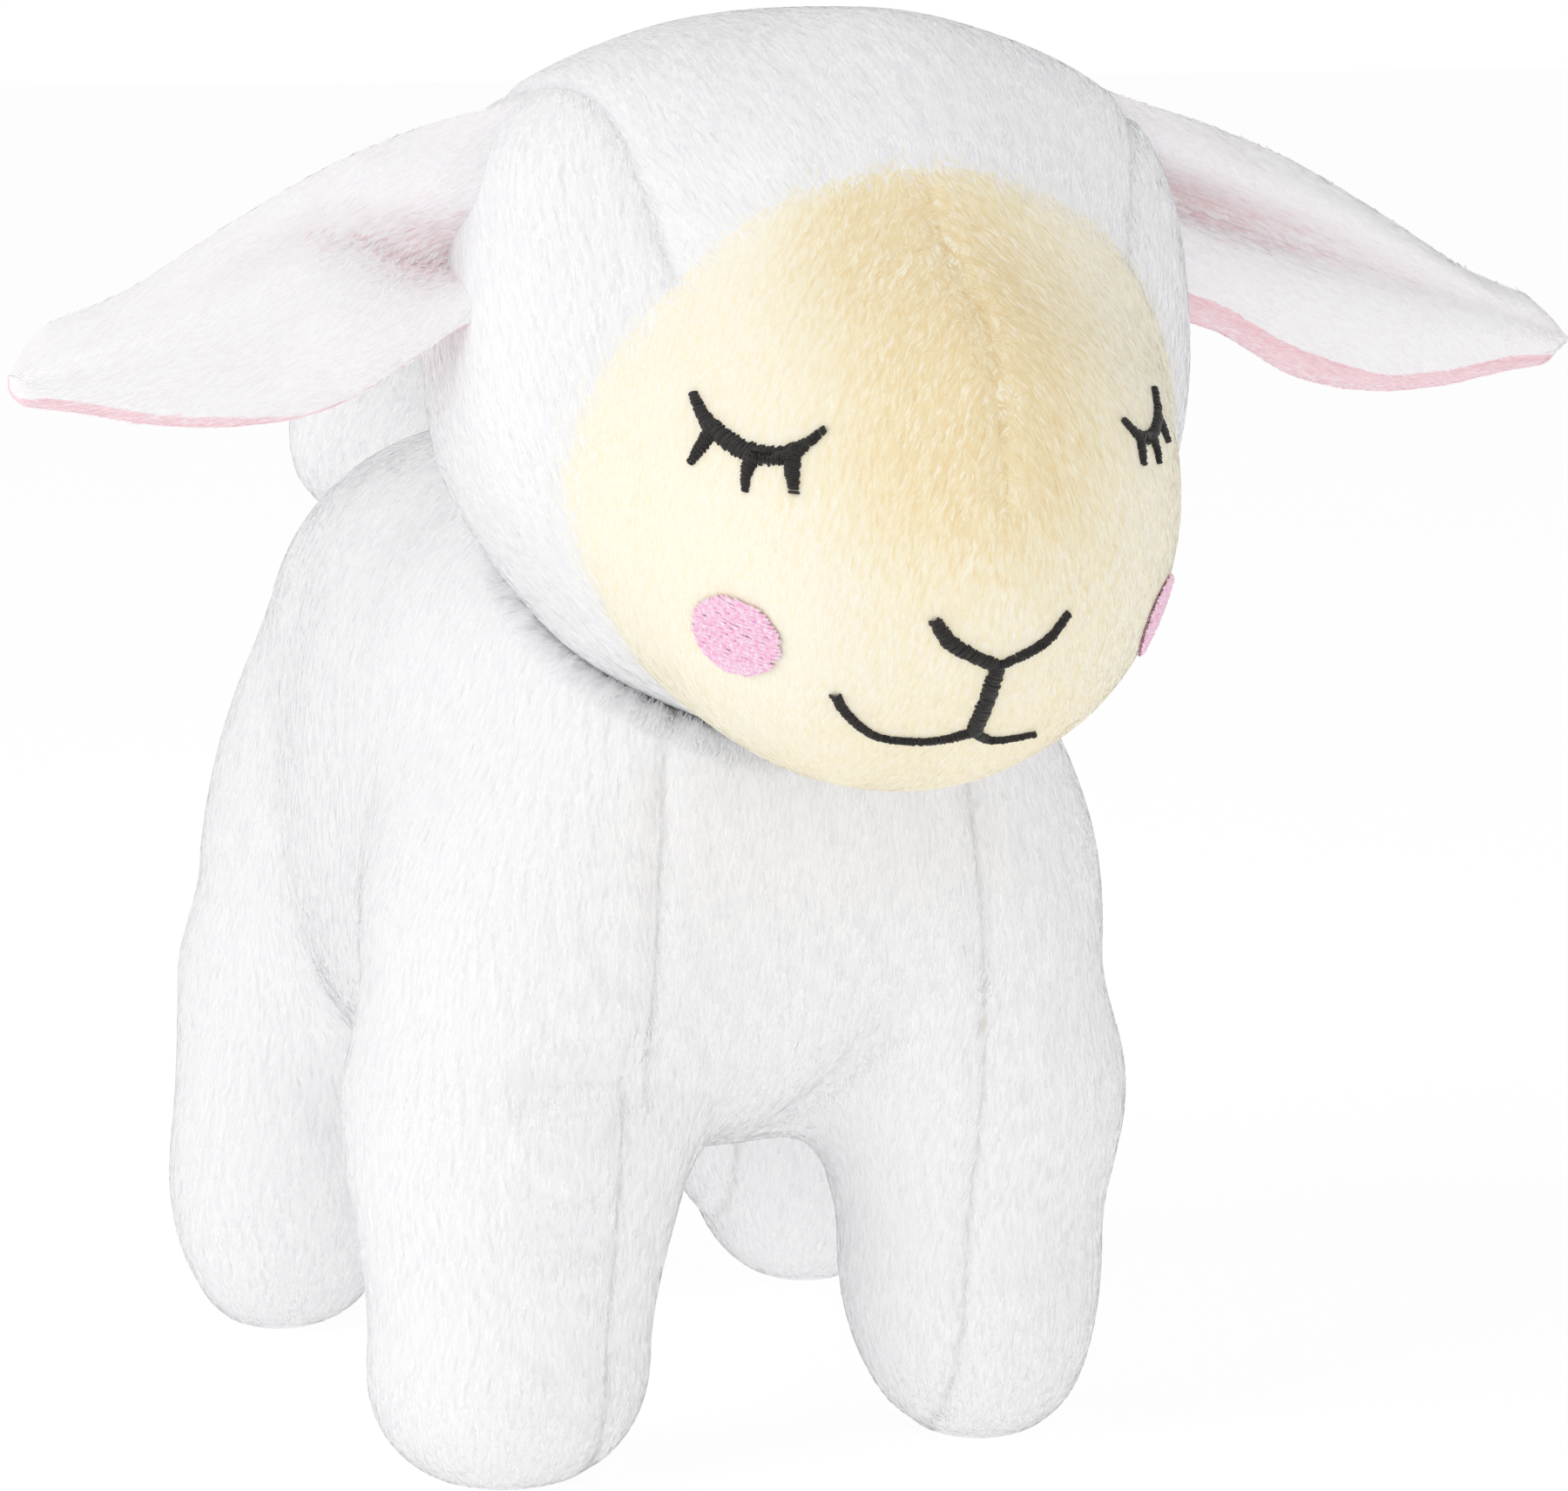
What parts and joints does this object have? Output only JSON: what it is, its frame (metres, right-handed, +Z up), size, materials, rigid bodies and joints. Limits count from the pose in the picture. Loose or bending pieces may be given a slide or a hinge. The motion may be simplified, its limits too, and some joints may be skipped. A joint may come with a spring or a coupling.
{
  "type": "plush lamb toy",
  "caption": "Plush lamb that stands on short stuffed legs, with a large round head, stitched sleeping eyes, floppy lined ears and a round tail.",
  "frame": {"origin": "on the floor, under the middle of the toy's bounding box", "axes": "+Z up, the face looks along -Y, the lamb's left side is +X"},
  "size_m": [0.2198, 0.2251, 0.1933],
  "materials": {
    "white_plush": "short-pile white polyester plush",
    "cream_plush": "short-pile cream polyester plush",
    "pink_plush": "short-pile pink polyester plush",
    "pink_thread": "pink embroidery thread, slight sheen",
    "black_thread": "black embroidery thread, slight sheen",
    "white_thread": "strong white sewing thread",
    "stuffing": "loose polyester fibre filling"
  },
  "bodies": {
    "body": {"body_side_left": "white_plush", "body_side_right": "white_plush", "chest_panel": "white_plush", "belly_panel": "white_plush", "body_stuffing": "stuffing"},
    "neck": {"neck_seam_thread": "white_thread"},
    "head": {"face_panel": "cream_plush", "crown_panel": "white_plush", "head_side_left": "white_plush", "head_side_right": "white_plush", "head_stuffing": "stuffing", "eye_stitch_left": "black_thread", "eye_stitch_right": "black_thread", "cheek_stitch_left": "pink_thread", "cheek_stitch_right": "pink_thread", "nose_and_mouth_stitch": "black_thread"},
    "ear_left": {"ear_outer_left": "white_plush", "ear_lining_left": "pink_plush"},
    "ear_right": {"ear_outer_right": "white_plush", "ear_lining_right": "pink_plush"},
    "front_left_leg": {"front_left_leg_outer": "white_plush", "front_left_leg_inner": "white_plush", "front_left_leg_stuffing": "stuffing"},
    "front_right_leg": {"front_right_leg_outer": "white_plush", "front_right_leg_inner": "white_plush", "front_right_leg_stuffing": "stuffing"},
    "rear_left_leg": {"rear_left_leg_outer": "white_plush", "rear_left_leg_inner": "white_plush", "rear_left_leg_stuffing": "stuffing"},
    "rear_right_leg": {"rear_right_leg_outer": "white_plush", "rear_right_leg_inner": "white_plush", "rear_right_leg_stuffing": "stuffing"},
    "tail": {"tail_cover_left": "white_plush", "tail_cover_right": "white_plush", "tail_stuffing": "stuffing"}
  },
  "joints": [
    {"name": "head_nod", "type": "hinge", "parent": "body", "child": "neck", "pos_m": [0, -0.051, 0.146], "axis": [1, 0, 0], "range_deg": [-10, 10], "stiffness_Nm_per_rad": 0.3},
    {"name": "head_turn", "type": "hinge", "parent": "neck", "child": "head", "pos_m": [0, -0.051, 0.146], "axis": [0, 0.6428, -0.766], "range_deg": [-15, 15], "stiffness_Nm_per_rad": 0.3},
    {"name": "ear_left_flap", "type": "hinge", "parent": "head", "child": "ear_left", "pos_m": [0.04722, -0.0594, 0.169], "axis": [-0.3243, 0, 0.946], "range_deg": [-35, 35], "stiffness_Nm_per_rad": 0.005},
    {"name": "ear_right_flap", "type": "hinge", "parent": "head", "child": "ear_right", "pos_m": [-0.04722, -0.0594, 0.169], "axis": [0.3243, 0, 0.946], "range_deg": [-35, 35], "stiffness_Nm_per_rad": 0.005},
    {"name": "front_left_leg_swing", "type": "hinge", "parent": "body", "child": "front_left_leg", "pos_m": [0.0305, -0.0299, 0.05], "axis": [1, 0, 0], "range_deg": [-12, 12], "stiffness_Nm_per_rad": 0.2},
    {"name": "front_right_leg_swing", "type": "hinge", "parent": "body", "child": "front_right_leg", "pos_m": [-0.0355, -0.0299, 0.05], "axis": [1, 0, 0], "range_deg": [-12, 12], "stiffness_Nm_per_rad": 0.2},
    {"name": "rear_left_leg_swing", "type": "hinge", "parent": "body", "child": "rear_left_leg", "pos_m": [0.0365, 0.0696, 0.05], "axis": [1, 0, 0], "range_deg": [-12, 12], "stiffness_Nm_per_rad": 0.2},
    {"name": "rear_right_leg_swing", "type": "hinge", "parent": "body", "child": "rear_right_leg", "pos_m": [-0.0265, 0.0696, 0.05], "axis": [1, 0, 0], "range_deg": [-12, 12], "stiffness_Nm_per_rad": 0.2},
    {"name": "tail_wag", "type": "hinge", "parent": "body", "child": "tail", "pos_m": [-0.0035, 0.08257, 0.1206], "axis": [0, 0, 1], "range_deg": [-20, 20], "stiffness_Nm_per_rad": 0.01}
  ]
}
